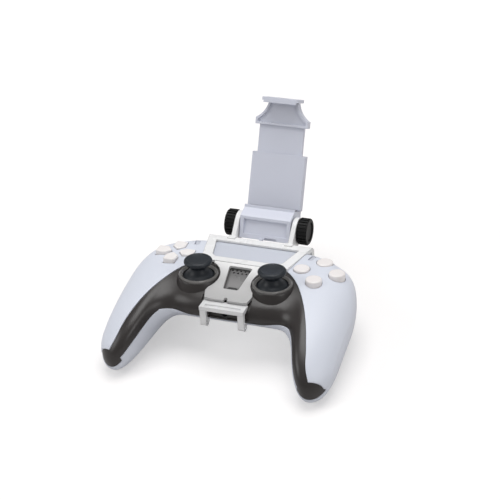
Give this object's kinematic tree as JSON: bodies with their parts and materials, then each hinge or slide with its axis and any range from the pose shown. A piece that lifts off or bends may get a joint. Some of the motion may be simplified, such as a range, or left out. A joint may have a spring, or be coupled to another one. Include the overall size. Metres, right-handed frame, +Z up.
{
  "type": "game controller with phone mount",
  "caption": "Two-handed game controller with a clip-on mount: a hinged clamp above its back edge holds a phone, tightened by side knobs, with a hook over the front edge.",
  "frame": {"origin": "centre of the bounding box in plan, on the table the controller rests on", "axes": "+X to the user's right, +Y away from the user, +Z up"},
  "size_m": [0.161, 0.1824, 0.1254],
  "materials": {
    "shell": "fine satin, faint lavender",
    "trim": "dark warm grey, semi-gloss",
    "action_button": "pearly off-white",
    "dpad": "pearly off-white",
    "small_button": "dark grey, smooth",
    "trigger": "dark grey, smooth",
    "steel": "plain steel",
    "port": "black, moulded",
    "light_strip": "smoky light guide, unlit",
    "collar": "mid-grey satin",
    "gimbal": "dark, moulded",
    "stick": "near-black, blue-grey tint",
    "panel": "grey satin",
    "frosted": "frosted clear-white",
    "plate": "white satin",
    "knob": "black, ribbed edge",
    "clamp": "lavender-white satin",
    "pad": "soft grey"
  },
  "bodies": {
    "controller": {"upper_shell_right": "shell", "upper_shell_left": "shell", "rear_shell": "shell", "core_trim": "trim", "trigger_pin_right": "steel", "trigger_pin_left": "steel", "hinge_bolt": "steel", "usb_socket": "steel", "headset_jack": "port", "usb_tongue": "port", "light_strip_right": "light_strip", "light_strip_left": "light_strip", "stick_collar_right": "collar", "stick_collar_left": "collar", "centre_panel": "panel", "mount_frame": "frosted", "centre_plate": "plate"},
    "action_top": {"action_button_top": "action_button"},
    "pad_top": {"dpad_top": "dpad"},
    "action_right": {"action_button_right": "action_button"},
    "pad_right": {"dpad_right": "dpad"},
    "action_bottom": {"action_button_bottom": "action_button"},
    "pad_bottom": {"dpad_bottom": "dpad"},
    "action_left": {"action_button_left": "action_button"},
    "pad_left": {"dpad_left": "dpad"},
    "options": {"options_button": "small_button"},
    "share": {"share_button": "small_button"},
    "home": {"home_button": "small_button"},
    "touch": {"touchpad": "shell"},
    "bumper_right_body": {"bumper_right": "trigger"},
    "trigger_right_body": {"trigger_right": "trigger"},
    "gimbal_right": {"stick_gimbal_right": "gimbal"},
    "stick_right_body": {"stick_right": "stick"},
    "knob_right_body": {"knob_right": "knob"},
    "bumper_left_body": {"bumper_left": "trigger"},
    "trigger_left_body": {"trigger_left": "trigger"},
    "gimbal_left": {"stick_gimbal_left": "gimbal"},
    "stick_left_body": {"stick_left": "stick"},
    "knob_left_body": {"knob_left": "knob"},
    "clamp": {"clamp_block": "clamp", "lower_pad": "pad", "clamp_sleeve": "clamp"},
    "jaw": {"slide_plate": "clamp", "upper_jaw": "clamp", "upper_pad": "pad"},
    "hook": {"front_hook": "frosted"}
  },
  "joints": [
    {"name": "action_top_press", "type": "slide", "parent": "controller", "child": "action_top", "axis": [0, 0.1098, 0.994], "range_m": [-0.001, 0], "stiffness_N_per_m": 400, "springref_m": 0.0004},
    {"name": "pad_top_press", "type": "slide", "parent": "controller", "child": "pad_top", "axis": [0, 0.1098, 0.994], "range_m": [-0.001, 0], "stiffness_N_per_m": 400, "springref_m": 0.0004},
    {"name": "action_right_press", "type": "slide", "parent": "controller", "child": "action_right", "axis": [0, 0.1098, 0.994], "range_m": [-0.001, 0], "stiffness_N_per_m": 400, "springref_m": 0.0004},
    {"name": "pad_right_press", "type": "slide", "parent": "controller", "child": "pad_right", "axis": [0, 0.1098, 0.994], "range_m": [-0.001, 0], "stiffness_N_per_m": 400, "springref_m": 0.0004},
    {"name": "action_bottom_press", "type": "slide", "parent": "controller", "child": "action_bottom", "axis": [0, 0.1098, 0.994], "range_m": [-0.001, 0], "stiffness_N_per_m": 400, "springref_m": 0.0004},
    {"name": "pad_bottom_press", "type": "slide", "parent": "controller", "child": "pad_bottom", "axis": [0, 0.1098, 0.994], "range_m": [-0.001, 0], "stiffness_N_per_m": 400, "springref_m": 0.0004},
    {"name": "action_left_press", "type": "slide", "parent": "controller", "child": "action_left", "axis": [0, 0.1098, 0.994], "range_m": [-0.001, 0], "stiffness_N_per_m": 400, "springref_m": 0.0004},
    {"name": "pad_left_press", "type": "slide", "parent": "controller", "child": "pad_left", "axis": [0, 0.1098, 0.994], "range_m": [-0.001, 0], "stiffness_N_per_m": 400, "springref_m": 0.0004},
    {"name": "options_press", "type": "slide", "parent": "controller", "child": "options", "axis": [0, 0.1098, 0.994], "range_m": [-0.0006, 0], "stiffness_N_per_m": 400, "springref_m": 0.0004},
    {"name": "share_press", "type": "slide", "parent": "controller", "child": "share", "axis": [0, 0.1098, 0.994], "range_m": [-0.0006, 0], "stiffness_N_per_m": 400, "springref_m": 0.0004},
    {"name": "home_press", "type": "slide", "parent": "controller", "child": "home", "axis": [0, -0.1461, 0.9893], "range_m": [-0.0006, 0], "stiffness_N_per_m": 400, "springref_m": 0.0004},
    {"name": "touch_press", "type": "slide", "parent": "controller", "child": "touch", "axis": [0, 0.1098, 0.994], "range_m": [-0.0005, 0], "stiffness_N_per_m": 900, "springref_m": 0.0004},
    {"name": "bumper_right_press", "type": "slide", "parent": "controller", "child": "bumper_right_body", "axis": [0, 0.994, -0.1098], "range_m": [-0.0008, 0], "stiffness_N_per_m": 400, "springref_m": 0.0004},
    {"name": "trigger_right_pull", "type": "hinge", "parent": "controller", "child": "trigger_right_body", "pos_m": [0.0516, 0.00653, 0.02634], "axis": [1, 0, 0], "range_deg": [-16, 0], "stiffness_Nm_per_rad": 0.12, "springref_deg": 14.32},
    {"name": "stick_right_fore_aft", "type": "hinge", "parent": "controller", "child": "gimbal_right", "pos_m": [0.0259, -0.02937, 0.03835], "axis": [1, 0, 0], "range_deg": [-14, 14], "stiffness_Nm_per_rad": 0.05},
    {"name": "stick_right_side", "type": "hinge", "parent": "gimbal_right", "child": "stick_right_body", "pos_m": [0.0259, -0.02937, 0.03835], "axis": [0, 0.994, -0.1098], "range_deg": [-14, 14], "stiffness_Nm_per_rad": 0.05},
    {"name": "knob_right_turn", "type": "hinge", "parent": "controller", "child": "knob_right_body", "pos_m": [0.0263, 0.03897, 0.04589], "axis": [1, 0, 0], "range_deg": [-180, 180]},
    {"name": "bumper_left_press", "type": "slide", "parent": "controller", "child": "bumper_left_body", "axis": [0, 0.994, -0.1098], "range_m": [-0.0008, 0], "stiffness_N_per_m": 400, "springref_m": 0.0004},
    {"name": "trigger_left_pull", "type": "hinge", "parent": "controller", "child": "trigger_left_body", "pos_m": [-0.0516, 0.00653, 0.02634], "axis": [1, 0, 0], "range_deg": [-16, 0], "stiffness_Nm_per_rad": 0.12, "springref_deg": 14.32},
    {"name": "stick_left_fore_aft", "type": "hinge", "parent": "controller", "child": "gimbal_left", "pos_m": [-0.0259, -0.02937, 0.03835], "axis": [1, 0, 0], "range_deg": [-14, 14], "stiffness_Nm_per_rad": 0.05},
    {"name": "stick_left_side", "type": "hinge", "parent": "gimbal_left", "child": "stick_left_body", "pos_m": [-0.0259, -0.02937, 0.03835], "axis": [0, 0.994, -0.1098], "range_deg": [-14, 14], "stiffness_Nm_per_rad": 0.05},
    {"name": "knob_left_turn", "type": "hinge", "parent": "controller", "child": "knob_left_body", "pos_m": [-0.0263, 0.03897, 0.04589], "axis": [1, 0, 0], "range_deg": [-180, 180]},
    {"name": "clamp_tilt", "type": "hinge", "parent": "controller", "child": "clamp", "pos_m": [0, 0.03897, 0.04589], "axis": [1, 0, 0], "range_deg": [-50, 25]},
    {"name": "jaw_slide", "type": "slide", "parent": "clamp", "child": "jaw", "axis": [0, 0.471, 0.8821], "range_m": [-0.016, 0.01]},
    {"name": "hook_pull", "type": "slide", "parent": "controller", "child": "hook", "axis": [0, -0.9893, -0.1461], "range_m": [0, 0.006], "stiffness_N_per_m": 500, "springref_m": -0.001}
  ]
}
